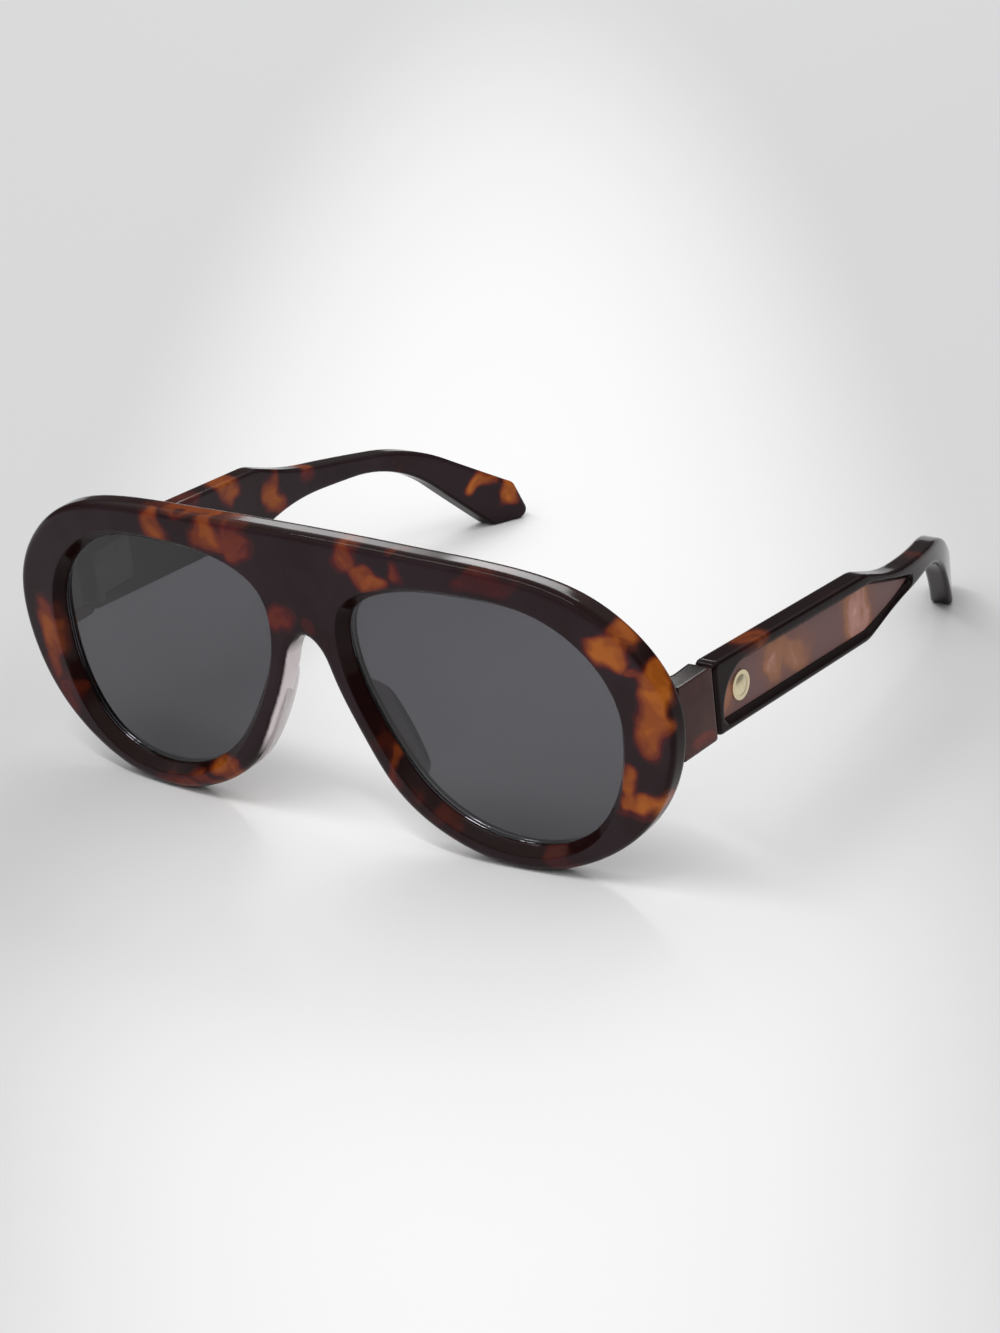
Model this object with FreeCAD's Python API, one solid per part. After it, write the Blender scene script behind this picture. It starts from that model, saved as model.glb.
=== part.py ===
import FreeCAD, Part
import math
import os

# Oversized sunglasses: a bent acetate front with two lenses, and two folding temples on barrel hinges.
# Millimetres. X runs to the wearer's left, Y from the front to the back, Z up from the table.
# Each paired piece is modelled on the wearer's left and mirrored for the right.

# Front
BRIDGE_WIDTH = 14.6           # between the two lens openings
APERTURE_WIDTH = 57.0         # lens opening at the front face
APERTURE_HEIGHT = 49.3
TEMPORAL_RIM = 9.0            # rim beside, below and above the lens opening
BOTTOM_RIM = 2.8
BROW_RIM = 6.5
FRONT_THICKNESS = 5.0
FRONT_RADIUS = 500.0          # bend of the front seen from above
FRONT_EDGE_ROUND = 1.6
BACK_EDGE_ROUND = 1.1
BEVEL_WIDTH = 1.6             # slope from the front face down to the lens
BEVEL_DEPTH = 2.2

# Lens and its groove
LENS_SETBACK = 0.25           # front face of the lens behind the foot of the bevel
LENS_THICKNESS = 1.7
TONGUE_THICKNESS = 1.1        # thinned edge that sits in the groove
TONGUE_WIDTH = 0.8
LENS_CLEARANCE = 0.05

# Nose pads bonded to the rims
PAD_LENGTH = 24.0
PAD_WIDTH = 5.2
PAD_START = 2.0               # front end of the pad behind the front face, on the nose side of the rim
PAD_REACH = 4.4               # how far the pad stands behind the rim
PAD_CREST_LENGTH = 16.0       # rear edge of the pad
PAD_CREST_WIDTH = 2.4
PAD_SLANT = 27.0              # degrees from upright, along the side of the nose
PAD_SPREAD = 1.8              # rear of the pad moves out, as the nose widens
PAD_SPREAD_MIDDLE = 0.6       # the same halfway back
PAD_BELLY = 1.2               # extra length halfway back, which rounds the ends
PAD_DROP = 18.6               # centre below the underside of the bridge
PAD_INSET = 5.3               # centre outside the nose side of the lens opening

# End pieces
TEMPLE_INSET = 0.5            # outer faces of end piece and temple inside the widest point of the front
TEMPLE_THICKNESS = 4.3
TEMPLE_HEIGHT = 13.9          # at the hinge
BUTT_DISTANCE = 20.4          # joint plane behind the foremost point of the front
BUTT_GAP = 0.2
BUTT_CORNER = 1.4             # corners of end piece and temple at the joint
END_PIECE_FOOT = 10.5         # width of the end piece where it meets the front
END_PIECE_TAPER = 1.3         # outer face comes in towards the front
END_PIECE_COVE = 3.5          # hollow curve from the foot to the inner face
END_PIECE_STEP = 1.0          # straight side of the foot behind the back face of the front

# Hinges
HINGE_RISE = 1.1              # middle of the hinge above the middle of the front
KNUCKLE_COUNT = 5
KNUCKLE_LENGTH = 1.7
KNUCKLE_GAP = 0.06
KNUCKLE_RADIUS = 1.6
PIN_RADIUS = 0.7
PIN_CLEARANCE = 0.04
PIN_STANDOFF = 0.9            # pin axis inside the inner face of the temple
LEAF_THICKNESS = 0.9
FRONT_LEAF_LENGTH = 5.6
TEMPLE_LEAF_LENGTH = 12.0
LEAF_CORNER = 0.8
HINGE_RELIEF = 0.25           # room round the turning knuckles
PIN_HEAD_RADIUS = 1.3
PIN_HEAD_HEIGHT = 0.7
PIN_SLOT = 0.35
LEAF_SCREW_RADIUS = 0.5
LEAF_SCREW_HEAD = 0.9
LEAF_SCREW_LENGTH = 2.3
LEAF_SCREW_PITCH = 4.6
LEAF_SCREW_SETBACK = 3.3      # screws from the pin axis
LEAF_SCREW_CLEARANCE = 0.03

# Temple side view: lengths along the table, heights from the middle of the hinge
SHANK_LENGTH = 50.6
SHANK_TOP_RISE = 2.3          # top and bottom corner at the rear of the shank
SHANK_BOTTOM_DROP = 10.9
SHANK_CORNER = 9.0
TAPER_LENGTH = 11.0           # from the shank to the neck
NECK_LENGTH = 30.2
NECK_DROP = 2.2               # top of the neck where it begins
NECK_SLOPE = 0.19
NECK_HEIGHT = 6.4             # where it begins
NECK_BLEND = 50.0
HUMP_RADIUS = 35.0
UNDER_LEAD = 4.0              # corner of the underside ahead of the hump, and below it
UNDER_DROP = 2.0
UNDER_RADIUS = 26.0
EAR_LENGTH = 14.3             # from the hump to the foot of the tip
TIP_FLAT = 7.7                # foot of the tip on the table
TIP_HEIGHT = 8.4              # rear end of the tip, which leans forward
TIP_LEAN = 2.6
TIP_ROUND = 2.0
BEND_START = 48.0             # where the temple begins to curve inwards
BEND_RADIUS = 120.0
TEMPLE_EDGE_ROUND = 0.8

# Recessed panel on the outside of the temple
PANEL_DEPTH = 1.2
PANEL_SLOPE = 0.9             # sloping wall round the panel
PANEL_MARGIN_TOP = 3.0
PANEL_MARGIN_BOTTOM = 2.0
PANEL_MARGIN_FRONT = 2.6
PANEL_TAIL = 19.9             # pointed end behind the rear of the shank
PANEL_FRONT_STRAIGHT = 0.7    # front end below its large round
PANEL_CORNER = 1.2
PANEL_KINK_LAG = 2.0          # top corner of the panel behind the corner of the shank
PANEL_POINT_DROP = 3.2        # rear point of the panel below the top of the neck
PANEL_POINT_ROUND = 0.3

# Stiffening core inside the temple, and the round stud in the panel
CORE_THICKNESS = 1.0
CORE_HEIGHT = 1.4
CORE_CLEARANCE = 0.04
CORE_FROM_OUTSIDE = 1.9
CORE_DROP = 4.9               # front end below the middle of the hinge
CORE_BEND_LEAD = 4.4          # bend of the core ahead of the hump's corner, and below it
CORE_BEND_DROP = 0.3
CORE_BEND_RADIUS = 20.0
CORE_SETBACK = 7.8            # rear end ahead of the middle of the tip
CORE_END_ROUND = 0.3
STUD_DISTANCE = 9.1
STUD_DROP = 1.1               # below the middle of the hinge
STUD_RADIUS = 2.7
STUD_RISE = 0.9
STUD_RIM = 0.35
STUD_DOME_RADIUS = 1.95       # foot of the dome, inside a flat ring
STUD_PEG_RADIUS = 0.7
STUD_PEG_LENGTH = 1.1
STUD_CLEARANCE = 0.03

# Outlines as shares of their box: across from the middle or the nose side, and up from the lowest point
FRONT_SHAPE = [(0.184, 0.997), (0.368, 0.988), (0.600, 0.968), (0.778, 0.913), (0.914, 0.790),
               (0.992, 0.623), (0.995, 0.439), (0.920, 0.224), (0.757, 0.061), (0.563, 0.000),
               (0.375, 0.049), (0.220, 0.183), (0.136, 0.353), (0.066, 0.548), (0.040, 0.623)]
BRIDGE_ARCH = 0.656           # underside of the bridge, same share
APERTURE_SHAPE = [(1.000, 0.535), (0.932, 0.789), (0.758, 0.947), (0.460, 1.000), (0.179, 0.970),
                  (0.030, 0.866), (0.005, 0.692), (0.090, 0.408), (0.270, 0.130), (0.586, 0.000),
                  (0.854, 0.097), (0.975, 0.323)]

HALF_WIDTH = BRIDGE_WIDTH / 2 + APERTURE_WIDTH + TEMPORAL_RIM
FRONT_HEIGHT = BOTTOM_RIM + APERTURE_HEIGHT + BROW_RIM
LENS_DEPTH = BEVEL_DEPTH + LENS_SETBACK
PAD_HEIGHT = BRIDGE_ARCH * FRONT_HEIGHT - PAD_DROP
PAD_OFFSET = BRIDGE_WIDTH / 2 + PAD_INSET
TEMPLE_OUTER = HALF_WIDTH - TEMPLE_INSET
TEMPLE_INNER = TEMPLE_OUTER - TEMPLE_THICKNESS
HINGE_HEIGHT = FRONT_HEIGHT / 2 + HINGE_RISE
PIN_X = TEMPLE_INNER - PIN_STANDOFF
KNUCKLE_PITCH = KNUCKLE_LENGTH + KNUCKLE_GAP
HINGE_LENGTH = KNUCKLE_COUNT * KNUCKLE_PITCH - KNUCKLE_GAP
HINGE_BOTTOM = HINGE_HEIGHT - HINGE_LENGTH / 2
BEND_CENTRE = FreeCAD.Vector(TEMPLE_OUTER - BEND_RADIUS, BUTT_DISTANCE + BEND_START, 0)
TOP_AT_JOINT = HINGE_HEIGHT + TEMPLE_HEIGHT / 2
BOTTOM_AT_JOINT = HINGE_HEIGHT - TEMPLE_HEIGHT / 2
SHANK_END = BUTT_DISTANCE + SHANK_LENGTH
SHANK_TOP = HINGE_HEIGHT + SHANK_TOP_RISE
SHANK_BOTTOM = HINGE_HEIGHT - SHANK_BOTTOM_DROP
NECK_START = SHANK_END + TAPER_LENGTH
NECK_TOP = HINGE_HEIGHT - NECK_DROP
HUMP_Y = NECK_START + NECK_LENGTH
HUMP_TOP = NECK_TOP - NECK_SLOPE * NECK_LENGTH
TIP_FRONT = HUMP_Y + EAR_LENGTH
TIP_MIDDLE = FreeCAD.Vector(TIP_FRONT + TIP_FLAT / 2, TIP_HEIGHT / 2, 0)
CORE_BEND = FreeCAD.Vector(HUMP_Y - CORE_BEND_LEAD, HUMP_TOP - CORE_BEND_DROP, 0)
EAR_ANGLE = math.atan2(CORE_BEND.y - TIP_MIDDLE.y, TIP_MIDDLE.x - CORE_BEND.x)
EAR_ALONG = FreeCAD.Vector(math.cos(EAR_ANGLE), -math.sin(EAR_ANGLE), 0)
EAR_ACROSS = FreeCAD.Vector(math.sin(EAR_ANGLE), math.cos(EAR_ANGLE), 0)
LIMIT = 3 * FRONT_HEIGHT      # longer than any cut needs
SHARP = 0.1                   # radius of a corner that is left all but sharp
TOUCH = 0.001                 # points nearer than this count as touching
UP = FreeCAD.Vector(0, 0, 1)
BACK = FreeCAD.Vector(0, 1, 0)
PIN_FOOT = FreeCAD.Vector(PIN_X, BUTT_DISTANCE, HINGE_BOTTOM)
OUT = FreeCAD.Vector(1, 0, 0)
ORIGIN = FreeCAD.Vector(0, 0, 0)


def smooth_wire(points, grow=0.0):
    """Closed smooth curve through points in the plane of the front, grown outwards by a distance."""
    curve = Part.BSplineCurve()
    curve.interpolate(Points=points, PeriodicFlag=True)
    if grow:
        middle = sum(points, FreeCAD.Vector()) / len(points)
        moved = []
        for point in points:
            normal = curve.tangent(curve.parameter(point))[0].cross(BACK)
            side = 1 if normal.dot(point - middle) > 0 else -1
            moved.append(point + normal * grow * side)
        curve.interpolate(Points=moved, PeriodicFlag=True)
    return Part.Wire([curve.toShape()])


def prism(wire):
    """Bar with the outline of a front-plane wire, from ahead of the front to the temple joint."""
    face = Part.Face(wire)
    face.translate(BACK * -FRONT_THICKNESS)
    return face.extrude(BACK * (BUTT_DISTANCE + FRONT_THICKNESS))


def behind_depth(depth):
    """Everything further back than a depth behind the bent front face."""
    return Part.makeCylinder(FRONT_RADIUS - depth, 3 * LIMIT, FreeCAD.Vector(0, FRONT_RADIUS, -LIMIT), UP)


def bent_sheet(near, far):
    """Sheet that follows the bend of the front, between two depths behind its front face."""
    return behind_depth(near).cut(behind_depth(far))


def front_wire():
    half = [FreeCAD.Vector(x * HALF_WIDTH, 0, z * FRONT_HEIGHT) for x, z in FRONT_SHAPE]
    other = [FreeCAD.Vector(-p.x, 0, p.z) for p in reversed(half)]
    top = [FreeCAD.Vector(0, 0, FRONT_HEIGHT)]
    arch = [FreeCAD.Vector(0, 0, BRIDGE_ARCH * FRONT_HEIGHT)]
    return smooth_wire(top + half + arch + other)


def seat_wire(grow=0.0):
    """Outline of the lens opening at the lens, inside the bevel."""
    points = [FreeCAD.Vector(BRIDGE_WIDTH / 2 + x * APERTURE_WIDTH, 0, BOTTOM_RIM + z * APERTURE_HEIGHT)
              for x, z in APERTURE_SHAPE]
    return smooth_wire(points, grow - BEVEL_WIDTH)


def mirrored(shape):
    return shape.mirror(ORIGIN, OUT)


def edges_at_depth(shape, depth):
    """Edges of the front that lie at one depth behind its front face."""
    axis = FreeCAD.Vector(0, FRONT_RADIUS, 0)
    found = []
    for edge in shape.Edges:
        gaps = [math.hypot(p.x - axis.x, p.y - axis.y) - FRONT_RADIUS + depth for p in edge.discretize(5)]
        if max(abs(gap) for gap in gaps) < TOUCH:
            found.append(edge)
    return found


def front_slab():
    """Bent sheet in the outline of the front, with rounded edges."""
    body = prism(front_wire()).common(bent_sheet(0, FRONT_THICKNESS))
    body = body.makeFillet(FRONT_EDGE_ROUND, edges_at_depth(body, 0))
    return body.makeFillet(BACK_EDGE_ROUND, edges_at_depth(body, FRONT_THICKNESS))


def front_frame(slab):
    """Front with two bevelled lens openings and a groove round each lens."""
    opening = prism(seat_wire())
    body = slab.cut(opening).cut(mirrored(opening))
    mouths = [edge for edge in edges_at_depth(body, 0) if edge.BoundBox.XMin * edge.BoundBox.XMax > 0]
    body = body.makeChamfer(BEVEL_WIDTH, BEVEL_DEPTH, mouths)
    near = LENS_DEPTH + (LENS_THICKNESS - TONGUE_THICKNESS) / 2 - LENS_CLEARANCE
    far = near + TONGUE_THICKNESS + 2 * LENS_CLEARANCE
    groove = prism(seat_wire(TONGUE_WIDTH + LENS_CLEARANCE)).common(bent_sheet(near, far))
    return body.cut(groove).cut(mirrored(groove))


def lens():
    """Bent lens with a thinner tongue round its edge that sits in the groove."""
    pane = prism(seat_wire(-LENS_CLEARANCE)).common(bent_sheet(LENS_DEPTH, LENS_DEPTH + LENS_THICKNESS))
    near = LENS_DEPTH + (LENS_THICKNESS - TONGUE_THICKNESS) / 2
    tongue = prism(seat_wire(TONGUE_WIDTH)).common(bent_sheet(near, near + TONGUE_THICKNESS))
    return pane.fuse(tongue).removeSplitter()


def pad_section(distance, length, width, shift):
    """Slanted ellipse across the nose pad, at a distance behind the foremost point of the front."""
    slant = math.radians(PAD_SLANT)
    along = FreeCAD.Vector(math.sin(slant), 0, -math.cos(slant))
    across = FreeCAD.Vector(math.cos(slant), 0, math.sin(slant))
    centre = FreeCAD.Vector(PAD_OFFSET + shift, distance, PAD_HEIGHT)
    ellipse = Part.Ellipse(centre + along * length / 2, centre + across * width / 2, centre)
    return Part.Wire([ellipse.toShape()])


def nose_pad(slab):
    """Tapering pad that covers the nose side of the rim and stands behind it."""
    middle_length = (PAD_LENGTH + PAD_CREST_LENGTH) / 2 + PAD_BELLY
    middle_width = (PAD_WIDTH + PAD_CREST_WIDTH) / 2
    root = pad_section(PAD_START, PAD_LENGTH, PAD_WIDTH, 0)
    middle = pad_section(FRONT_THICKNESS + PAD_REACH / 2, middle_length, middle_width, PAD_SPREAD_MIDDLE)
    crest = pad_section(FRONT_THICKNESS + PAD_REACH, PAD_CREST_LENGTH, PAD_CREST_WIDTH, PAD_SPREAD)
    return Part.makeLoft([root, middle, crest], True).cut(slab)


def rounded_face(corners, place):
    """Flat face with straight sides and round corners (a, b, radius), put in space by a function."""
    edges = []
    tangents = []
    for index, (a, b, radius) in enumerate(corners):
        point = FreeCAD.Vector(a, b, 0)
        before = FreeCAD.Vector(*corners[index - 1][:2], 0) - point
        after = FreeCAD.Vector(*corners[(index + 1) % len(corners)][:2], 0) - point
        before.normalize()
        after.normalize()
        half = before.getAngle(after) / 2
        inward = (before + after).normalize()
        reach = radius / math.tan(half)
        middle = point + inward * (radius / math.sin(half) - radius)
        tangents.append((point + before * reach, middle, point + after * reach))
    for index, (start, middle, end) in enumerate(tangents):
        previous = tangents[index - 1][2]
        edges.append(Part.makeLine(place(previous), place(start)))
        edges.append(Part.Arc(place(start), place(middle), place(end)).toShape())
    return Part.Face(Part.Wire(edges))


def side_prism(corners):
    """Bar across the whole width whose side view is the outline of corners (distance back, height)."""
    face = rounded_face(corners, lambda p: FreeCAD.Vector(0, p.x, p.y))
    return face.extrude(OUT * LIMIT)


def temple_sheet(near, far):
    """Sheet that follows the temple seen from above, between two depths inside its outer face."""
    start = BUTT_DISTANCE - FRONT_THICKNESS
    turn = math.asin((TIP_FRONT + 2 * TIP_FLAT - BEND_CENTRE.y) / BEND_RADIUS)
    corners = []
    for depth in (near, far):
        radius = BEND_RADIUS - depth
        rays = [FreeCAD.Vector(math.cos(a), math.sin(a), 0) for a in (0, turn / 2, turn)]
        arc = [BEND_CENTRE + ray * radius for ray in rays]
        corners.append([FreeCAD.Vector(arc[0].x, start, 0)] + arc)
    outer, inner = corners
    wire = Part.Wire([Part.makeLine(outer[0], outer[1]), Part.Arc(*outer[1:]).toShape(),
                      Part.makeLine(outer[3], inner[3]), Part.Arc(*reversed(inner[1:])).toShape(),
                      Part.makeLine(inner[1], inner[0]), Part.makeLine(inner[0], outer[0])])
    return Part.Face(wire).extrude(UP * LIMIT)


def temple_depth(point):
    """Distance of a point inside the temple's outer face."""
    if point.y < BEND_CENTRE.y:
        return TEMPLE_OUTER - point.x
    return BEND_RADIUS - math.hypot(point.x - BEND_CENTRE.x, point.y - BEND_CENTRE.y)


def temple_edges(shape, depth):
    """Edges that run round the temple at one depth, apart from the line where its bend begins."""
    found = []
    for edge in shape.Edges:
        points = edge.discretize(5)
        at_depth = all(abs(temple_depth(p) - depth) < TOUCH for p in points)
        if at_depth and any(abs(p.y - BEND_CENTRE.y) > TOUCH for p in points):
            found.append(edge)
    return found


def temple_outline():
    """Side view: tapering shank, thin neck, hump over the ear and a wide tip with a flat foot on the table."""
    front = BUTT_DISTANCE + BUTT_GAP / 2
    heel = TIP_FRONT + TIP_FLAT
    return [(front, TOP_AT_JOINT, BUTT_CORNER),
            (SHANK_END, SHANK_TOP, SHANK_CORNER),
            (NECK_START, NECK_TOP, NECK_BLEND),
            (HUMP_Y, HUMP_TOP, HUMP_RADIUS),
            (heel - TIP_LEAN, TIP_HEIGHT, TIP_ROUND),
            (heel, 0, TIP_ROUND),
            (TIP_FRONT, 0, TIP_ROUND),
            (HUMP_Y - UNDER_LEAD, HUMP_TOP - UNDER_DROP, UNDER_RADIUS),
            (NECK_START, NECK_TOP - NECK_HEIGHT, NECK_BLEND),
            (SHANK_END, SHANK_BOTTOM, SHANK_CORNER),
            (front, BOTTOM_AT_JOINT, BUTT_CORNER)]


def panel_outline():
    """Side view of the recessed panel, inside the shank and running to a point at the neck."""
    front = BUTT_DISTANCE + BUTT_GAP / 2 + PANEL_MARGIN_FRONT
    top = TOP_AT_JOINT - PANEL_MARGIN_TOP
    bottom = BOTTOM_AT_JOINT + PANEL_MARGIN_BOTTOM
    point_height = NECK_TOP - NECK_SLOPE * (PANEL_TAIL - TAPER_LENGTH) - PANEL_POINT_DROP
    return [(front, top, top - bottom - PANEL_CORNER - PANEL_FRONT_STRAIGHT),
            (SHANK_END + PANEL_KINK_LAG, SHANK_TOP - PANEL_MARGIN_TOP, PANEL_CORNER),
            (SHANK_END + PANEL_TAIL, point_height, PANEL_POINT_ROUND),
            (SHANK_END, SHANK_BOTTOM + PANEL_MARGIN_BOTTOM, PANEL_CORNER),
            (front, bottom, PANEL_CORNER)]


def core(grow=0.0):
    """Flat stiffening strip that follows the temple from the joint to the tip."""
    half = CORE_HEIGHT / 2 + grow
    front = BUTT_DISTANCE + BUTT_GAP / 2
    height = HINGE_HEIGHT - CORE_DROP
    mitre = half * math.tan(EAR_ANGLE / 2)
    end = TIP_MIDDLE + EAR_ALONG * (grow - CORE_SETBACK)
    upper = end + EAR_ACROSS * half
    lower = end - EAR_ACROSS * half
    strip = side_prism([(front, height + half, SHARP),
                        (CORE_BEND.x + mitre, CORE_BEND.y + half, CORE_BEND_RADIUS),
                        (upper.x, upper.y, CORE_END_ROUND),
                        (lower.x, lower.y, CORE_END_ROUND),
                        (CORE_BEND.x - mitre, CORE_BEND.y - half, CORE_BEND_RADIUS),
                        (front, height - half, SHARP)])
    return strip.common(temple_sheet(CORE_FROM_OUTSIDE - grow, CORE_FROM_OUTSIDE + CORE_THICKNESS + grow))


def hinge_relief():
    """Round hollow that the knuckles and the pin head turn in."""
    radius = max(KNUCKLE_RADIUS, PIN_HEAD_RADIUS) + HINGE_RELIEF
    height = HINGE_LENGTH + PIN_HEAD_HEIGHT + 2 * HINGE_RELIEF
    return Part.makeCylinder(radius, height, PIN_FOOT - UP * HINGE_RELIEF, UP)


def leaf_plate(length, inlay=0.0):
    """Flat plate let into the inner face, back from the pin, or forward for a negative length."""
    near = BUTT_DISTANCE + math.copysign(BUTT_GAP / 2, length)
    far = BUTT_DISTANCE + length
    corners = [(near, HINGE_BOTTOM, SHARP), (far, HINGE_BOTTOM, LEAF_CORNER),
               (far, HINGE_BOTTOM + HINGE_LENGTH, LEAF_CORNER), (near, HINGE_BOTTOM + HINGE_LENGTH, SHARP)]
    start = TEMPLE_INNER - inlay
    face = rounded_face(corners, lambda p: FreeCAD.Vector(start, p.x, p.y))
    return face.extrude(OUT * (LEAF_THICKNESS + inlay))


def knuckle(index, grow=0.0, margin=0.0):
    foot = PIN_FOOT + UP * (index * KNUCKLE_PITCH - margin)
    return Part.makeCylinder(KNUCKLE_RADIUS + grow, KNUCKLE_LENGTH + 2 * margin, foot, UP)


def leaf_screw(y, z, grow=0.0):
    """Countersunk screw that holds a hinge leaf to the acetate."""
    foot = FreeCAD.Vector(TEMPLE_INNER, y, z)
    sink = LEAF_SCREW_HEAD - LEAF_SCREW_RADIUS
    head = Part.makeCone(LEAF_SCREW_HEAD + grow, LEAF_SCREW_RADIUS + grow, sink, foot, OUT)
    shank = Part.makeCylinder(LEAF_SCREW_RADIUS + grow, LEAF_SCREW_LENGTH + grow, foot, OUT)
    return head.fuse(shank).removeSplitter()


def front_leaf_screws(grow=0.0):
    y = BUTT_DISTANCE - LEAF_SCREW_SETBACK
    return [leaf_screw(y, HINGE_HEIGHT + side * LEAF_SCREW_PITCH / 2, grow) for side in (-1, 1)]


def temple_leaf_screws(grow=0.0):
    y = BUTT_DISTANCE + LEAF_SCREW_SETBACK
    return [leaf_screw(y + step * LEAF_SCREW_PITCH, HINGE_HEIGHT, grow) for step in (0, 1)]


def hinge_leaf(length, own, screws):
    """Leaf with its own knuckles, cut away round the knuckles of the other leaf."""
    body = leaf_plate(length)
    web = math.copysign(KNUCKLE_RADIUS, length)
    for index in own:
        low = HINGE_BOTTOM + index * KNUCKLE_PITCH
        corner = FreeCAD.Vector(PIN_X, BUTT_DISTANCE + min(web, 0), low)
        size = TEMPLE_INNER + LEAF_THICKNESS - PIN_X
        body = body.fuse(Part.makeBox(size, KNUCKLE_RADIUS, KNUCKLE_LENGTH, corner)).fuse(knuckle(index))
    for index in set(range(KNUCKLE_COUNT)) - set(own):
        body = body.cut(knuckle(index, HINGE_RELIEF, KNUCKLE_GAP))
    body = body.cut(Part.makeCylinder(PIN_RADIUS + PIN_CLEARANCE, LIMIT, PIN_FOOT - UP * LIMIT / 2, UP))
    for screw in screws:
        body = body.cut(screw)
    return body.removeSplitter()


def hinge_pin():
    """Slotted screw that the hinge turns on."""
    top = PIN_FOOT + UP * HINGE_LENGTH
    head = Part.makeCylinder(PIN_HEAD_RADIUS, PIN_HEAD_HEIGHT, top, UP)
    corner = top + FreeCAD.Vector(-PIN_HEAD_RADIUS, -PIN_SLOT / 2, PIN_HEAD_HEIGHT / 2)
    head = head.cut(Part.makeBox(2 * PIN_HEAD_RADIUS, PIN_SLOT, PIN_HEAD_HEIGHT, corner))
    return head.fuse(Part.makeCylinder(PIN_RADIUS, HINGE_LENGTH, PIN_FOOT, UP)).removeSplitter()


def end_piece():
    """Acetate block bonded behind the corner of the front, which carries the hinge."""
    butt = BUTT_DISTANCE - BUTT_GAP / 2
    foot = TEMPLE_OUTER - END_PIECE_FOOT
    leaf_end = BUTT_DISTANCE - FRONT_LEAF_LENGTH - LEAF_CORNER
    corners = [(TEMPLE_OUTER, butt, TEMPLE_EDGE_ROUND),
               (TEMPLE_OUTER - END_PIECE_TAPER, 0, SHARP),
               (foot, 0, SHARP),
               (foot, FRONT_THICKNESS + END_PIECE_STEP, SHARP),
               (TEMPLE_INNER, leaf_end, END_PIECE_COVE),
               (TEMPLE_INNER, butt, SHARP)]
    plan = rounded_face(corners, lambda p: FreeCAD.Vector(p.x, p.y, 0)).extrude(UP * LIMIT)
    side = side_prism([(butt, TOP_AT_JOINT, BUTT_CORNER), (-BUTT_DISTANCE, TOP_AT_JOINT, SHARP),
                       (-BUTT_DISTANCE, BOTTOM_AT_JOINT, SHARP), (butt, BOTTOM_AT_JOINT, BUTT_CORNER)])
    body = plan.common(side).common(behind_depth(FRONT_THICKNESS))
    body = body.cut(hinge_relief()).cut(leaf_plate(-FRONT_LEAF_LENGTH, LEAF_THICKNESS))
    for screw in front_leaf_screws(LEAF_SCREW_CLEARANCE):
        body = body.cut(screw)
    return body


def stud(grow=0.0):
    """Plain domed stud with a peg, seated on the floor of the panel."""
    peg = STUD_PEG_RADIUS + grow
    low = -STUD_PEG_LENGTH - grow
    points = [(0, low), (peg, low), (peg, 0), (STUD_RADIUS, 0), (STUD_RADIUS, STUD_RIM),
              (STUD_DOME_RADIUS, STUD_RIM)]
    place = [FreeCAD.Vector(height, radius, 0) for radius, height in points]
    edges = [Part.makeLine(a, b) for a, b in zip(place, place[1:])]
    top = FreeCAD.Vector(STUD_RISE, 0, 0)
    dome = STUD_RISE - STUD_RIM
    ball = (STUD_DOME_RADIUS ** 2 + dome ** 2) / (2 * dome)
    turn = math.asin(STUD_DOME_RADIUS / ball) / 2
    shoulder = top + FreeCAD.Vector(math.cos(turn) - 1, math.sin(turn), 0) * ball
    edges.append(Part.Arc(place[-1], shoulder, top).toShape())
    edges.append(Part.makeLine(top, place[0]))
    body = Part.Face(Part.Wire(edges)).revolve(ORIGIN, OUT, 360)
    floor = TEMPLE_OUTER - PANEL_DEPTH
    body.translate(FreeCAD.Vector(floor, BUTT_DISTANCE + STUD_DISTANCE, HINGE_HEIGHT - STUD_DROP))
    return body


def temple():
    """Curved temple with rounded edges, its recessed panel, and seats for hinge leaf, core and stud."""
    body = side_prism(temple_outline()).common(temple_sheet(0, TEMPLE_THICKNESS))
    body = body.makeFillet(TEMPLE_EDGE_ROUND, temple_edges(body, 0) + temple_edges(body, TEMPLE_THICKNESS))
    panel = side_prism(panel_outline()).common(temple_sheet(-PANEL_DEPTH, PANEL_DEPTH))
    body = body.cut(panel)
    rim = [edge for edge in temple_edges(body, 0) if panel.isInside(edge.discretize(3)[1], TOUCH, True)]
    body = body.makeChamfer(PANEL_SLOPE, rim)
    body = body.cut(hinge_relief()).cut(leaf_plate(TEMPLE_LEAF_LENGTH, LEAF_THICKNESS))
    for screw in temple_leaf_screws(LEAF_SCREW_CLEARANCE):
        body = body.cut(screw)
    return body.cut(core(CORE_CLEARANCE)).cut(stud(STUD_CLEARANCE))


def build():
    """All pieces by name, still in the frame of the front."""
    slab = front_slab()
    front_screws = front_leaf_screws(LEAF_SCREW_CLEARANCE)
    temple_screws = temple_leaf_screws(LEAF_SCREW_CLEARANCE)
    pairs = {"lens": lens(), "nose_pad": nose_pad(slab), "end_piece": end_piece(),
             "hinge_front_leaf": hinge_leaf(-FRONT_LEAF_LENGTH, range(0, KNUCKLE_COUNT, 2), front_screws),
             "hinge_temple_leaf": hinge_leaf(TEMPLE_LEAF_LENGTH, range(1, KNUCKLE_COUNT, 2), temple_screws),
             "hinge_pin": hinge_pin(),
             "front_leaf_screws": Part.makeCompound(front_leaf_screws()),
             "temple_leaf_screws": Part.makeCompound(temple_leaf_screws()),
             "temple": temple(), "temple_core": core(), "temple_stud": stud()}
    pieces = {"front_frame": front_frame(slab)}
    for name, shape in pairs.items():
        pieces[name + "_left"] = shape
        pieces[name + "_right"] = mirrored(shape)
    return pieces


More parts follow.
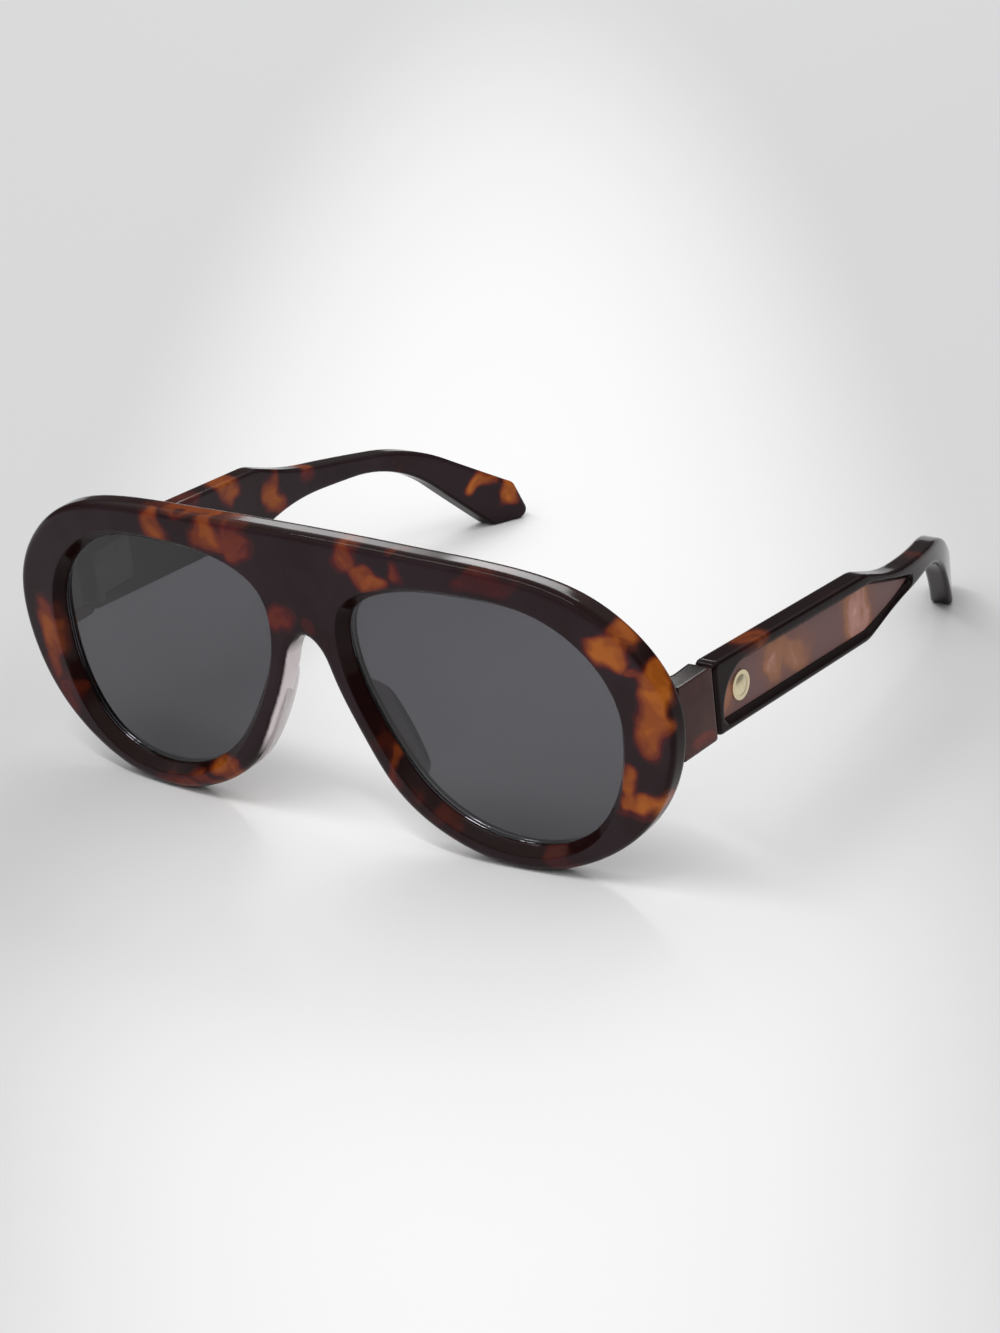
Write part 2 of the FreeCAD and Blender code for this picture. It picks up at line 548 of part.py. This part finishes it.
def main():
    os.makedirs("parts", exist_ok=True)
    pieces = build()
    box = Part.makeCompound(list(pieces.values())).optimalBoundingBox()
    shift = FreeCAD.Vector(0, -box.Center.y, -box.ZMin)
    for name, shape in pieces.items():
        shape.translate(shift)
        shape.exportStep(f"parts/{name}.step")
        print(name, len(shape.Solids), "solids, valid", shape.isValid(), "volume", round(shape.Volume, 1))
    print("size", round(box.XLength, 2), round(box.YLength, 2), round(box.ZLength, 2), "shift", shift)


main()
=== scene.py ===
import math

import bpy
from mathutils import Matrix, Quaternion, Vector

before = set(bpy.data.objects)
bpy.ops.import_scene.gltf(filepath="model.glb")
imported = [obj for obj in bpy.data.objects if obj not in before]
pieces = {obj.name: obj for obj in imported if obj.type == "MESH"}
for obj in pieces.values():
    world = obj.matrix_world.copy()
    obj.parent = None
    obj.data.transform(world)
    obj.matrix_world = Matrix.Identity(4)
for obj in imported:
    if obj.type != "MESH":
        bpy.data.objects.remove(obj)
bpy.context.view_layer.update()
mm = 0.001
sides = ("left", "right")
outwards = (1, -1)
noiseMiddle = (0.5, 0.5, 0.5)
print("frame loaded,", len(pieces), "pieces")


# sRGB hex to linear light, opaque
def linear(hexColour):
    values = [int(hexColour[i:i + 2], 16) / 255 for i in (0, 2, 4)]
    return [v / 12.92 if v <= 0.04045 else ((v + 0.055) / 1.055) ** 2.4 for v in values] + [1.0]


# adds one node; an input is linked where a socket is given for it, and set where a value is
def add(tree, kind, inputs=None, **settings):
    node = tree.nodes.new(kind)
    for key, value in settings.items():
        setattr(node, key, value)
    for key, value in (inputs or {}).items():
        if isinstance(value, bpy.types.NodeSocket):
            tree.links.new(value, node.inputs[key])
        else:
            node.inputs[key].default_value = value
    return node


def reckon(tree, operation, *terms, **settings):
    return add(tree, "ShaderNodeMath", dict(enumerate(terms)), operation=operation, **settings).outputs[0]


def reckonVector(tree, operation, *terms):
    node = add(tree, "ShaderNodeVectorMath", dict(enumerate(terms)), operation=operation)
    return node.outputs["Value" if operation in ("LENGTH", "DOT_PRODUCT") else "Vector"]


def scaled(tree, vector, factor):
    inputs = {0: vector, "Scale": factor}
    return add(tree, "ShaderNodeVectorMath", inputs, operation="SCALE").outputs["Vector"]


def product(tree, first, *others):
    for other in others:
        first = reckon(tree, "MULTIPLY", first, other)
    return first


# carries a value from one range to another and holds it at the ends
def between(tree, value, start=(0.0, 1.0), end=(0.0, 1.0), curve="LINEAR"):
    inputs = {"Value": value, "From Min": start[0], "From Max": start[1], "To Min": end[0], "To Max": end[1]}
    return add(tree, "ShaderNodeMapRange", inputs, interpolation_type=curve).outputs["Result"]


def mix(tree, factor, first, second, kind="RGBA", blend="MIX"):
    return add(tree, "ShaderNodeMix", {"Factor": factor, "A": first, "B": second}, data_type=kind,
               blend_type=blend).outputs["Result"]


def noise(tree, place, size, detail, roughness=0.5):
    inputs = {"Vector": place, "Scale": 1 / size, "Detail": detail, "Roughness": roughness}
    return add(tree, "ShaderNodeTexNoise", inputs).outputs


def colourRamp(tree, tones, value):
    ramp = add(tree, "ShaderNodeValToRGB", {"Fac": value})
    ramp.color_ramp.interpolation = "EASE"
    while len(ramp.color_ramp.elements) < len(tones):
        ramp.color_ramp.elements.new(0.5)
    for stop, (position, tone) in zip(ramp.color_ramp.elements, tones):
        stop.position = position
        stop.color = linear(tone)
    return ramp.outputs["Color"]


# a new material, its tree and the piece's own coordinates
def openMaterial(name):
    material = bpy.data.materials.new(name)
    material.use_nodes = True
    tree = material.node_tree
    tree.nodes.clear()
    return material, tree, add(tree, "ShaderNodeTexCoord").outputs


def closeMaterial(tree, inputs):
    shader = add(tree, "ShaderNodeBsdfPrincipled", inputs)
    add(tree, "ShaderNodeOutputMaterial", {"Surface": shader.outputs["BSDF"]})


def dress(name, material):
    pieces[name].data.materials.clear()
    pieces[name].data.materials.append(material)


# cellulose acetate sheet, milled and barrel polished: near-black umber with amber clouds that go
# right through the sheet, a painted plum sheen on the broad face that stands in for its reflection
# of the bright surroundings, a deep gloss, and the faint waviness that polishing leaves
acetate = {
    "tones": [(0.00, "130506"), (0.18, "200a0a"), (0.40, "47190f"),
              (0.62, "783611"), (0.84, "9c5117"), (1.00, "b86625")],
    # painted sheen: plum tones that stand in for the broad faces' reflection of the bright surroundings; the
    # lighter one goes on the end pieces
    "paintedSheen": "322529",
    "endPaintedSheen": "5a423f",       # on the end pieces
    "noseSide": "eee4e5",
    "sheenTurn": (0.62, 0.95),  # how square a face stands to the painted sheen's direction, as a cosine
    "sheenMottle": (0.35, 0.65),  # the mottle between which the painted sheen thins out
    "sheenLeft": (1.0, 0.6),    # share of the painted sheen that is left there
    "cloudWarp": 1.7,           # mm that the edge of a cloud wanders
    "warpGain": 4.0,            # as the noise stays within about a quarter of its middle
    "warpSize": 6.5,            # mm
    "warpDetail": 1.2,
    "cloudEdge": (0.50, 1.76),  # shares of a cloud's half width where it begins to fade and has gone
    "cloudBlend": 0.18,         # how far two clouds run into one another
    "mottleSize": 12.0,         # mm between faint clouds
    "mottleDetail": 3.0,
    "mottleRoughness": 0.45,
    "mottleFrom": (0.52, 0.78),  # where in the noise a faint cloud begins and is full
    "mottleStrength": 0.40,
    "grainSize": 3.6,           # mm, streaks inside a cloud
    "grainDetail": 2.0,
    "grainLight": (0.62, 1.30),  # share of the cloud's light in a dark and a light streak
    "edgeRound": 0.7,           # mm, edges softened in the barrel
    "edgeSamples": 8,
    "waveSize": 11.0,           # mm, waviness of the polish
    "waveDetail": 1.0,
    "waveHeight": 0.012,        # mm
    "waveStrength": 1.0,
    "hazeSize": 5.0,            # mm, patches of finer and coarser polish
    "hazeDetail": 4.0,
    "roughness": (0.05, 0.12),
    "specular": 0.12,           # low, which keeps the walls dark
    "ior": 1.49}

# floor of the panel on a temple, sand blasted: the same sheet with a satin roughness, and paler tones painted
# in as the sheen its satin face scatters from the room
panel = {
    "tones": [(0.00, "816361"), (0.40, "8c655c"), (0.66, "ac775b"), (0.85, "c99689"), (1.00, "e4b6a8")],
    "outerFace": 72.8,          # mm from the middle
    "bendFrom": 1.66,           # mm, where the temple begins to curve
    "bendRadius": 120.0,        # mm
    "depth": 1.2,               # mm below the outer face
    "overFloor": (0.3, 0.05),   # mm above the floor where the painted satin sheen begins and is full
    "underFloor": (2.0, 1.5),   # shares of the depth, past the floor, where it has gone and is full
    "lean": (0.6, 0.3),         # how far a face looks up or down where it has gone and is full
    "rearEnd": 24.0,            # mm
    "roughness": 0.38}

# walls of the front where the pads' pale acetate is bonded on; each pair is where the pale colour
# begins and where it is full
noseBand = {
    "turn": (-0.55, -0.75),     # how squarely a wall faces the nose, as a cosine
    "reach": (24.0, 20.0),      # mm from the middle
    "top": (38.0, 34.0),        # mm
    "foot": (11.5, 17.0)}       # mm

# clouds: centre and half widths in mm, then how light the cloud is; below 0 it is a dark one
frontClouds = [
    ((-33.0, -64.0, 54.6), (3.0, 6.0, 3.0), 0.74),
    ((-23.0, -62.0, 58.6), (11.0, 4.0, 1.3), 0.58),
    ((-19.5, -64.5, 55.0), (4.4, 6.0, 3.2), 0.80),
    ((-13.4, -64.5, 54.8), (4.0, 6.0, 3.6), 0.64),
    ((11.4, -64.5, 55.6), (2.5, 6.0, 3.8), 0.68),
    ((14.6, -64.5, 53.4), (2.6, 6.0, 2.4), 0.70),
    ((17.6, -64.5, 51.8), (3.2, 6.0, 2.0), 0.80),
    ((22.6, -64.5, 54.6), (2.6, 6.0, 2.4), 0.54),
    ((21.0, -64.0, 58.6), (3.6, 6.0, 1.2), 0.50),
    ((18.8, -64.5, 56.8), (2.9, 6.0, 1.8), -0.95),
    ((39.6, -64.0, 54.6), (6.8, 6.0, 2.6), 0.44),
    ((-4.9, -64.5, 41.4), (2.8, 6.0, 2.8), 0.52),
    ((1.2, -64.5, 41.0), (2.2, 6.0, 1.6), 0.42),
    ((62.6, -62.0, 44.6), (3.4, 6.0, 3.0), 1.00),
    ((63.8, -61.5, 47.0), (2.0, 6.0, 2.0), 0.94),
    ((66.0, -61.0, 49.0), (2.8, 6.0, 1.7), 0.84),
    ((66.8, -61.5, 42.0), (2.8, 6.0, 1.2), 0.64),
    ((70.6, -60.5, 41.0), (2.8, 6.0, 2.5), 0.90),
    ((70.1, -61.5, 35.4), (2.9, 6.0, 6.4), 0.92),
    ((69.2, -61.5, 29.4), (2.6, 6.0, 3.8), 0.78),
    ((68.8, -60.5, 44.9), (1.9, 6.0, 1.7), -1.00),
    ((73.6, -60.0, 36.6), (1.5, 6.0, 3.2), -1.00),
    ((64.3, -62.0, 21.0), (2.1, 6.0, 3.2), 0.86),
    ((67.6, -61.5, 17.2), (3.8, 6.0, 2.0), 0.90),
    ((64.4, -62.0, 17.6), (2.4, 6.0, 2.2), 0.86),
    ((65.6, -62.0, 15.0), (4.4, 6.0, 1.6), 0.46),
    ((-66.4, -61.5, 24.4), (3.2, 6.0, 8.6), 0.76),
    ((-63.6, -61.5, 13.6), (2.6, 6.0, 5.0), 0.50),
    ((-23.6, -64.5, 7.6), (4.2, 6.0, 2.2), 0.86),
    ((-29.0, -64.0, 4.0), (4.4, 6.0, 1.8), 0.56),
    ((-36.0, -64.0, 2.0), (6.0, 6.0, 2.0), 0.54),
    ((16.7, -64.0, 16.4), (1.2, 6.0, 4.2), 0.58),
    ((49.2, -63.0, 4.0), (4.2, 6.0, 2.0), 0.40)]
templeClouds = {
    "left": [
        ((71.0, -32.4, 35.6), (6.0, 4.2, 2.2), 0.56),
        ((66.5, -10.0, 27.0), (2.4, 4.0, 3.6), 0.70),
        ((66.5, 16.0, 24.0), (2.4, 3.0, 2.4), 0.62)],
    "right": [
        ((-70.0, -4.5, 32.0), (6.0, 3.4, 2.8), 0.80),
        ((-70.0, 8.1, 25.0), (6.0, 2.4, 4.8), 0.82),
        ((-69.0, 18.0, 26.2), (6.0, 2.0, 2.2), 0.56),
        ((-55.0, 57.4, 10.6), (6.0, 3.2, 2.0), 0.96),
        ((-51.6, 62.8, 6.8), (6.0, 2.0, 3.0), 1.00),
        ((-71.0, -17.0, 34.2), (6.0, 4.6, 2.2), 0.46)]}
panelClouds = {
    "left": [
        ((71.6, -42.6, 30.6), (6.0, 2.6, 5.0), 0.72),
        ((71.6, -25.6, 29.4), (6.0, 5.0, 4.4), 0.74),
        ((71.6, -18.6, 27.2), (6.0, 4.8, 4.0), 0.70),
        ((71.6, 2.6, 25.4), (6.0, 5.0, 8.0), 0.84)],
    "right": [
        ((-71.6, -34.0, 29.0), (6.0, 6.0, 5.0), 0.74),
        ((-71.6, -8.0, 26.0), (6.0, 5.0, 6.0), 0.90)]}
# the left one; the right one mirrors it
endPieceClouds = [
    ((70.0, -51.0, 24.6), (9.0, 5.0, 2.2), 0.60)]


# lays the clouds over a ground of faint ones, and streaks them, as the sheet was pressed from chips
def cloudLight(tree, ground, wandered, clouds):
    light = ground
    fadeFrom, fadeTo = acetate["cloudEdge"]
    for centre, halfWidths, lightness in clouds:
        shrink = [1 / w for w in halfWidths]
        move = [-c * s for c, s in zip(centre, shrink)]
        reach = reckonVector(tree, "LENGTH", reckonVector(tree, "MULTIPLY_ADD", wandered, shrink, move))
        outside = 0.0 if lightness > 0 else 1.0
        cloud = between(tree, reach, (fadeTo, fadeFrom), (outside, outside + lightness), "SMOOTHSTEP")
        join = "SMOOTH_MAX" if lightness > 0 else "MULTIPLY"
        light = reckon(tree, join, light, cloud, acetate["cloudBlend"])
    grain = noise(tree, wandered, acetate["grainSize"], acetate["grainDetail"])["Fac"]
    streak = between(tree, grain, end=acetate["grainLight"])
    return reckon(tree, "MULTIPLY", light, streak, use_clamp=True)


# 1 on the floor of the recessed panel, by its depth below the bent outer face
def panelFloor(tree, inMm, normal):
    place = add(tree, "ShaderNodeSeparateXYZ", {0: inMm}).outputs
    across = reckon(tree, "ABSOLUTE", place["X"])
    fromCentre = reckon(tree, "ADD", across, panel["bendRadius"] - panel["outerFace"])
    bent = reckon(tree, "MAXIMUM", reckon(tree, "SUBTRACT", place["Y"], panel["bendFrom"]), 0.0)
    ray = add(tree, "ShaderNodeCombineXYZ", {"X": fromCentre, "Y": bent}).outputs[0]
    depth = reckon(tree, "SUBTRACT", panel["bendRadius"], reckonVector(tree, "LENGTH", ray))
    over = between(tree, depth, [panel["depth"] - gap for gap in panel["overFloor"]])
    under = between(tree, depth, [panel["depth"] * share for share in panel["underFloor"]])
    steep = reckon(tree, "ABSOLUTE", add(tree, "ShaderNodeSeparateXYZ", {0: normal}).outputs["Z"])
    upright = between(tree, steep, panel["lean"])
    ahead = reckon(tree, "LESS_THAN", place["Y"], panel["rearEnd"])
    return product(tree, over, under, upright, ahead)


# 1 on the walls that noseBand describes
def noseFacing(tree, inMm, normal):
    place = add(tree, "ShaderNodeSeparateXYZ", {0: inMm}).outputs
    turned = add(tree, "ShaderNodeSeparateXYZ", {0: normal}).outputs
    outward = reckon(tree, "MULTIPLY", reckon(tree, "SIGN", place["X"]), turned["X"])
    across = reckon(tree, "ABSOLUTE", place["X"])
    measured = {"turn": outward, "reach": across, "top": place["Z"], "foot": place["Z"]}
    return product(tree, *[between(tree, value, noseBand[key]) for key, value in measured.items()])


def tortoiseAcetate(name, clouds, sheenFacing, paintedSheen, floorClouds=None, noseSide=None):
    material, tree, coordinates = openMaterial(name)
    normal = coordinates["Normal"]
    inMm = scaled(tree, coordinates["Object"], 1 / mm)
    warp = noise(tree, inMm, acetate["warpSize"], acetate["warpDetail"])["Color"]
    centred = reckonVector(tree, "SUBTRACT", warp, noiseMiddle)
    drift = scaled(tree, centred, acetate["warpGain"] * acetate["cloudWarp"])
    wandered = reckonVector(tree, "ADD", inMm, drift)
    mottle = noise(tree, wandered, acetate["mottleSize"], acetate["mottleDetail"],
                   acetate["mottleRoughness"])["Fac"]
    ground = between(tree, mottle, acetate["mottleFrom"], (0.0, acetate["mottleStrength"]), "SMOOTHSTEP")
    colour = colourRamp(tree, acetate["tones"], cloudLight(tree, ground, wandered, clouds))

    # painted sheen: the broad face gets a plum tone that stands in for its reflection of the bright
    # surroundings, patchy with the mottle, and the walls stay near black
    square = reckonVector(tree, "DOT_PRODUCT", normal, sheenFacing)
    face = between(tree, square, acetate["sheenTurn"], curve="SMOOTHSTEP")
    patchySheen = between(tree, mottle, acetate["sheenMottle"], acetate["sheenLeft"])
    colour = mix(tree, product(tree, face, patchySheen), colour, linear(paintedSheen), blend="LIGHTEN")
    haze = noise(tree, inMm, acetate["hazeSize"], acetate["hazeDetail"])["Fac"]
    polish = between(tree, haze, end=acetate["roughness"])
    if floorClouds:
        floor = panelFloor(tree, inMm, normal)
        # painted sheen: pale tones on the panel floor stand in for the light its satin face scatters
        satinSheen = colourRamp(tree, panel["tones"], cloudLight(tree, ground, wandered, floorClouds))
        colour = mix(tree, floor, colour, satinSheen)
        polish = mix(tree, floor, polish, panel["roughness"], kind="FLOAT")
    if noseSide:
        colour = mix(tree, noseFacing(tree, inMm, normal), colour, linear(noseSide))
    soft = add(tree, "ShaderNodeBevel", {"Radius": acetate["edgeRound"] * mm}, samples=acetate["edgeSamples"])
    wave = noise(tree, inMm, acetate["waveSize"], acetate["waveDetail"])["Fac"]
    bump = add(tree, "ShaderNodeBump", {"Height": wave, "Strength": acetate["waveStrength"],
                                        "Distance": acetate["waveHeight"] * mm,
                                        "Normal": soft.outputs["Normal"]})
    closeMaterial(tree, {"Base Color": colour, "Roughness": polish, "Normal": bump.outputs["Normal"],
                         "IOR": acetate["ior"], "Specular IOR Level": acetate["specular"]})
    return material


# each piece's painted plum sheen goes on the faces turned to the direction given here
dress("front_frame", tortoiseAcetate("polished_tortoise_acetate_front", frontClouds, (0, -1, 0),
                                     acetate["paintedSheen"], noseSide=acetate["noseSide"]))
for side, outward in zip(sides, outwards):
    temple = tortoiseAcetate("polished_tortoise_acetate_" + side + "_temple", templeClouds[side],
                             (-outward, 0, 0), acetate["paintedSheen"], panelClouds[side])
    dress("temple_" + side, temple)
for side, outward in zip(sides, outwards):
    endClouds = [((outward * x, y, z), widths, lightness) for (x, y, z), widths, lightness in endPieceClouds]
    dress("end_piece_" + side, tortoiseAcetate("polished_tortoise_acetate_end_piece_" + side, endClouds,
                                               (outward, 0, 0), acetate["endPaintedSheen"]))
print("acetate done")


# cast lens resin, dyed grey and hard coated: a mirror-smooth face that lets through about a
# twelfth of the light, with the faintest haze from wiping
lensResin = {
    "dye": "535257",
    "dyeSpread": "4f4e53",
    "spreadSize": 30.0,         # mm
    "spreadDetail": 1.0,
    "wipeSize": 3.0,            # mm
    "wipeDetail": 5.0,
    "wipeFrom": (0.45, 0.8),    # where in the noise the haze begins and is full
    "roughness": (0.0, 0.02),
    "clearness": 1.0,
    "ior": 1.5}


def dyedLensResin(name):
    material, tree, coordinates = openMaterial(name)
    inMm = scaled(tree, coordinates["Object"], 1 / mm)
    spread = noise(tree, inMm, lensResin["spreadSize"], lensResin["spreadDetail"])["Fac"]
    dye = mix(tree, spread, linear(lensResin["dye"]), linear(lensResin["dyeSpread"]))
    wipe = noise(tree, inMm, lensResin["wipeSize"], lensResin["wipeDetail"])["Fac"]
    haze = between(tree, wipe, lensResin["wipeFrom"], lensResin["roughness"])
    closeMaterial(tree, {"Base Color": dye, "Roughness": haze, "IOR": lensResin["ior"],
                         "Transmission Weight": lensResin["clearness"]})
    return material


lensMaterial = dyedLensResin("cast_grey_lens_resin")
for side in sides:
    dress("lens_" + side, lensMaterial)
print("lenses done")


# clear acetate, moulded and tumbled: pale, a little milky, lit through from behind
padAcetate = {
    "clear": "f2e9ea",
    "milky": "e0d5d7",
    "cloudSize": 4.0,           # mm
    "cloudDetail": 3.0,
    "roughness": (0.16, 0.28),
    "clearness": 0.35,
    "ior": 1.48}


def clearAcetate(name):
    material, tree, coordinates = openMaterial(name)
    inMm = scaled(tree, coordinates["Object"], 1 / mm)
    cloud = noise(tree, inMm, padAcetate["cloudSize"], padAcetate["cloudDetail"])["Fac"]
    tone = mix(tree, cloud, linear(padAcetate["clear"]), linear(padAcetate["milky"]))
    tumble = between(tree, cloud, end=padAcetate["roughness"])
    closeMaterial(tree, {"Base Color": tone, "Roughness": tumble, "IOR": padAcetate["ior"],
                         "Transmission Weight": padAcetate["clearness"]})
    return material


padMaterial = clearAcetate("moulded_clear_acetate")
for side in sides:
    dress("nose_pad_" + side, padMaterial)
print("nose pads done")


# metals: nickel silver, stamped and tumbled, a dull grey, for the hinges; stainless wire, drawn
# flat, with a fine lengthwise grain, for the cores; and brass, turned and gold plated, a pale
# satin gold, for the studs; grain and height in mm
metals = {
    "stamped_nickel_silver": {
        "light": "7d7974", "deep": "625f5b", "roughness": (0.18, 0.34), "grain": 0.5,
        "stretch": (1.0, 1.0, 4.0), "height": 0.006,
        "pieces": ("hinge_front_leaf_", "hinge_temple_leaf_", "hinge_pin_", "front_leaf_screws_",
                   "temple_leaf_screws_")},
    "drawn_stainless_core": {
        "light": "c4c4c4", "deep": "9a9a9c", "roughness": (0.22, 0.4), "grain": 0.4,
        "stretch": (6.0, 1.0, 6.0), "height": 0.004,
        "pieces": ("temple_core_",)},
    "turned_gold_plated_brass": {
        "light": "f8ebc8", "deep": "e2d2aa", "roughness": (0.26, 0.40), "grain": 0.6,
        "stretch": (1.0, 1.0, 1.0), "height": 0.012,
        "pieces": ("temple_stud_",)}}
metalGrain = {"size": 1.0, "detail": 4.0, "roughness": 0.6, "strength": 0.6}


def finishedMetal(name, metal):
    material, tree, coordinates = openMaterial(name)
    closeness = [stretch / (metal["grain"] * mm) for stretch in metal["stretch"]]
    grained = reckonVector(tree, "MULTIPLY", coordinates["Object"], closeness)
    grain = noise(tree, grained, metalGrain["size"], metalGrain["detail"], metalGrain["roughness"])["Fac"]
    tone = mix(tree, grain, linear(metal["light"]), linear(metal["deep"]))
    polish = between(tree, grain, end=metal["roughness"])
    bump = add(tree, "ShaderNodeBump", {"Height": grain, "Strength": metalGrain["strength"],
                                        "Distance": metal["height"] * mm})
    closeMaterial(tree, {"Base Color": tone, "Roughness": polish, "Normal": bump.outputs["Normal"],
                         "Metallic": 1.0})
    return material


for name, metal in metals.items():
    metalMaterial = finishedMetal(name, metal)
    for start in metal["pieces"]:
        for side in sides:
            dress(start + side, metalMaterial)
print("metals done")


# seamless paper sweep, matt, with a painted pool of light: pale in the long middle, greyer away from it
sweep = {
    "radius": 4.0,              # m
    "corners": 96,
    "middle": "f6f6f6",
    "outer": "d0d0d1",
    "pool": (17.3, -37.9, 0.0),  # mm, middle of the pool of light
    "poolTurn": 35.0,           # degrees
    "poolSize": (97.0, 600.0, 1000.0),  # mm, half widths
    "fade": (-0.1, 1.1),        # square of the share of the pool's size
    "fibreSize": 0.6,           # mm
    "fibreDetail": 3.0,
    "fibreHeight": 0.02,        # mm
    "fibreStrength": 0.1,
    "roughness": 0.9,
    "specular": 0.1}


def paperSweep():
    bpy.ops.mesh.primitive_circle_add(vertices=sweep["corners"], radius=sweep["radius"], fill_type="NGON",
                                      location=(0, 0, 0))
    floor = bpy.context.object
    floor.name = "paper_sweep"
    material, tree, coordinates = openMaterial("matt_sweep_paper")
    place = coordinates["Object"]
    pool = add(tree, "ShaderNodeMapping",
               {"Vector": place, "Location": [v * mm for v in sweep["pool"]],
                "Rotation": (0, 0, math.radians(sweep["poolTurn"])),
                "Scale": [v * mm for v in sweep["poolSize"]]}, vector_type="TEXTURE").outputs["Vector"]
    # painted pool of light: the paper greys with the distance from the pool's middle
    away = reckonVector(tree, "DOT_PRODUCT", pool, pool)
    fade = between(tree, away, sweep["fade"], curve="SMOOTHSTEP")
    tone = mix(tree, fade, linear(sweep["middle"]), linear(sweep["outer"]))
    fibre = noise(tree, place, sweep["fibreSize"] * mm, sweep["fibreDetail"])["Fac"]
    bump = add(tree, "ShaderNodeBump", {"Height": fibre, "Strength": sweep["fibreStrength"],
                                        "Distance": sweep["fibreHeight"] * mm})
    closeMaterial(tree, {"Base Color": tone, "Normal": bump.outputs["Normal"],
                         "Roughness": sweep["roughness"], "Specular IOR Level": sweep["specular"]})
    floor.data.materials.append(material)


paperSweep()

# soft room with darker walls, a long strip box overhead in front that streaks the lower bevels, and
# two narrow ones behind, one above the other, that streak the brow; places, aims and sizes in m,
# turns in degrees
lights = {
    "white": "ffffff",
    "room": 0.90,
    "backdrop": 0.80,           # what the camera sees above the paper
    "wallShare": 0.15,          # share of the room's light low down
    "wallRise": (0.35, 0.60),   # the heights between which it grows to the whole
    "softBoxes": [
        {"name": "overhead_strip", "place": (-0.25, -0.37, 1.13), "aim": (0.0, 0.0, 0.03), "turn": 19.2,
         "size": (1.10, 0.06), "watts": 4.2},
        {"name": "upper_strip", "place": (-0.298, 0.828, 0.817), "aim": (0.022, -0.031, 0.043), "turn": 50.4,
         "size": (0.085, 0.80), "watts": 2.3},
        {"name": "lower_strip", "place": (-0.695, 0.763, 0.527), "aim": (0.005, -0.064, 0.058), "turn": 40.7,
         "size": (0.10, 0.19), "watts": 0.30}]}


def softRoom():
    world = bpy.data.worlds.new("soft_room")
    world.use_nodes = True
    bpy.context.scene.world = world
    tree = world.node_tree
    background = tree.nodes["Background"]
    way = add(tree, "ShaderNodeTexCoord").outputs["Generated"]
    height = add(tree, "ShaderNodeSeparateXYZ", {0: way}).outputs["Z"]
    rise = between(tree, height, lights["wallRise"], (lights["wallShare"] * lights["room"], lights["room"]))
    seen = add(tree, "ShaderNodeLightPath").outputs["Is Camera Ray"]
    background.inputs["Color"].default_value = linear(lights["white"])
    tree.links.new(mix(tree, seen, rise, lights["backdrop"], kind="FLOAT"), background.inputs["Strength"])


def softBox(box):
    lamp = bpy.data.lights.new(box["name"], "AREA")
    lamp.shape = "RECTANGLE"
    lamp.size, lamp.size_y = box["size"]
    lamp.energy = box["watts"]
    stand = bpy.data.objects.new(box["name"], lamp)
    bpy.context.scene.collection.objects.link(stand)
    stand.location = box["place"]
    aimed = (Vector(box["aim"]) - stand.location).to_track_quat("-Z", "Y")
    stand.rotation_euler = (aimed @ Quaternion((0, 0, 1), math.radians(box["turn"]))).to_euler()


softRoom()
for box in lights["softBoxes"]:
    softBox(box)
print("stage and light done")

# the photograph's view: turned to the wearer's left, looking down, and rolled a little
view = {
    "place": (393.5, -512.35, 304.18),  # mm
    "turn": 38.175,             # degrees, as are the next two
    "fall": 24.924,
    "roll": -6.899,
    "focal": 99.6,              # mm
    "sensor": 36.0}             # mm, its height


def placeCamera():
    turn, fall, roll = (math.radians(view[key]) for key in ("turn", "fall", "roll"))
    forward = Vector((-math.sin(turn) * math.cos(fall), math.cos(turn) * math.cos(fall), -math.sin(fall)))
    level = Vector((math.cos(turn), math.sin(turn), 0))
    upright = level.cross(forward)
    right = level * math.cos(roll) + upright * math.sin(roll)
    up = upright * math.cos(roll) - level * math.sin(roll)
    camera = bpy.data.objects.new("camera", bpy.data.cameras.new("camera"))
    bpy.context.scene.collection.objects.link(camera)
    camera.data.sensor_fit = "VERTICAL"
    camera.data.sensor_height = view["sensor"]
    camera.data.lens = view["focal"]
    turned = Matrix((right, up, -forward)).transposed().to_4x4()
    camera.matrix_world = Matrix.Translation(Vector(view["place"]) * mm) @ turned
    bpy.context.scene.camera = camera


placeCamera()
bpy.context.scene.view_settings.view_transform = "Standard"
print("camera done")
